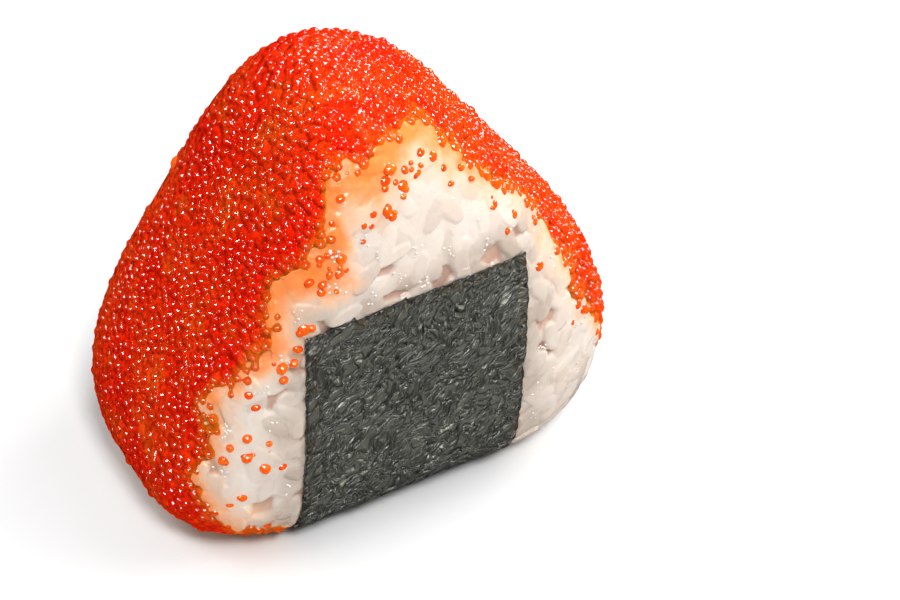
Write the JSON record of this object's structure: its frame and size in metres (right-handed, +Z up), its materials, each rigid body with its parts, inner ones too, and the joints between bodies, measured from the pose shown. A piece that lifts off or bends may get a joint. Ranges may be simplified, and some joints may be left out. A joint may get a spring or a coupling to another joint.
{
  "type": "crab onigiri",
  "caption": "Triangular crab rice ball with a coat of small orange-red roe over its slopes and a band of dried seaweed round its base.",
  "frame": {"origin": "middle of the bounding box, on the flat underside that the rice ball rests on", "axes": "+Z up through the rounded top, +X along the base to the viewer's right when the broad face with the seaweed is in front, -Y out of that broad face"},
  "size_m": [0.0808, 0.0498, 0.0776],
  "materials": {
    "rice": "moist translucent white cooked rice",
    "roe": "glossy translucent orange-red roe",
    "nori": "satin dark green crinkled dried seaweed"
  },
  "bodies": {
    "root": {"rice": "rice", "roe_coat": "roe", "nori": "nori"}
  },
  "joints": []
}
